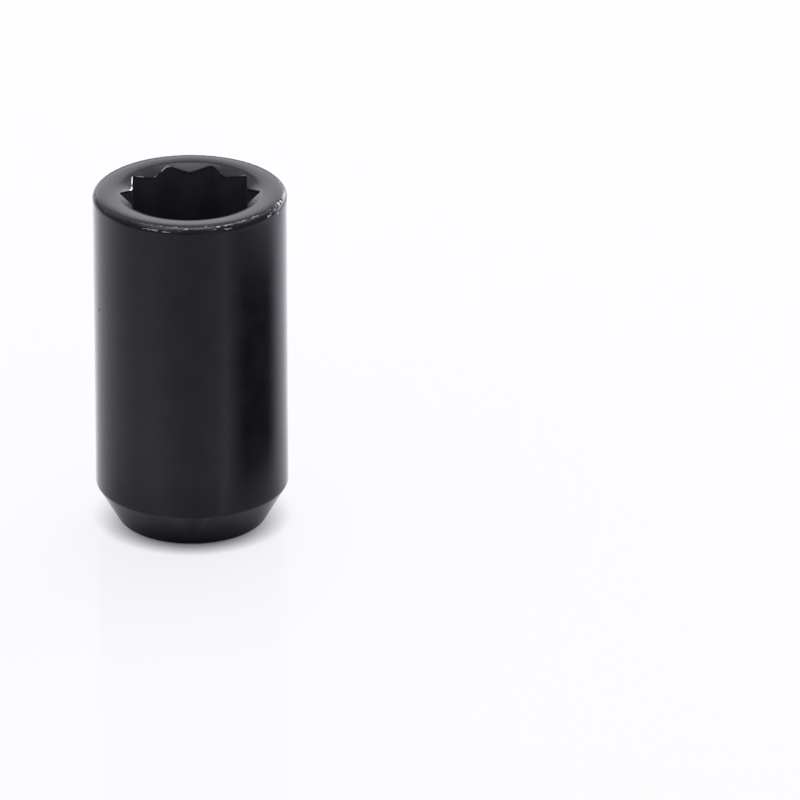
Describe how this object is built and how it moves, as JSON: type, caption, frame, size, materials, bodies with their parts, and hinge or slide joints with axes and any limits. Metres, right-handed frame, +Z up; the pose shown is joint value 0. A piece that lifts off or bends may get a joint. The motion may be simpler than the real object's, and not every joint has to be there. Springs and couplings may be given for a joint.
{
  "type": "lug nut",
  "caption": "Open-ended cylindrical lug nut with a conical seat at one end, an internal star drive socket at the other and a hole right through for a wheel stud.",
  "frame": {"origin": "centre of the flat end face at the seat end, which the nut stands on", "axes": "+Z up the nut's axis from the seat end to the drive end, +X through a point of the star socket"},
  "size_m": [0.02, 0.02, 0.0365],
  "materials": {
    "black_coat": "satin black coat over steel, worn through in small chips along the rim"
  },
  "bodies": {
    "root": {"lug_nut": "black_coat"}
  },
  "joints": []
}
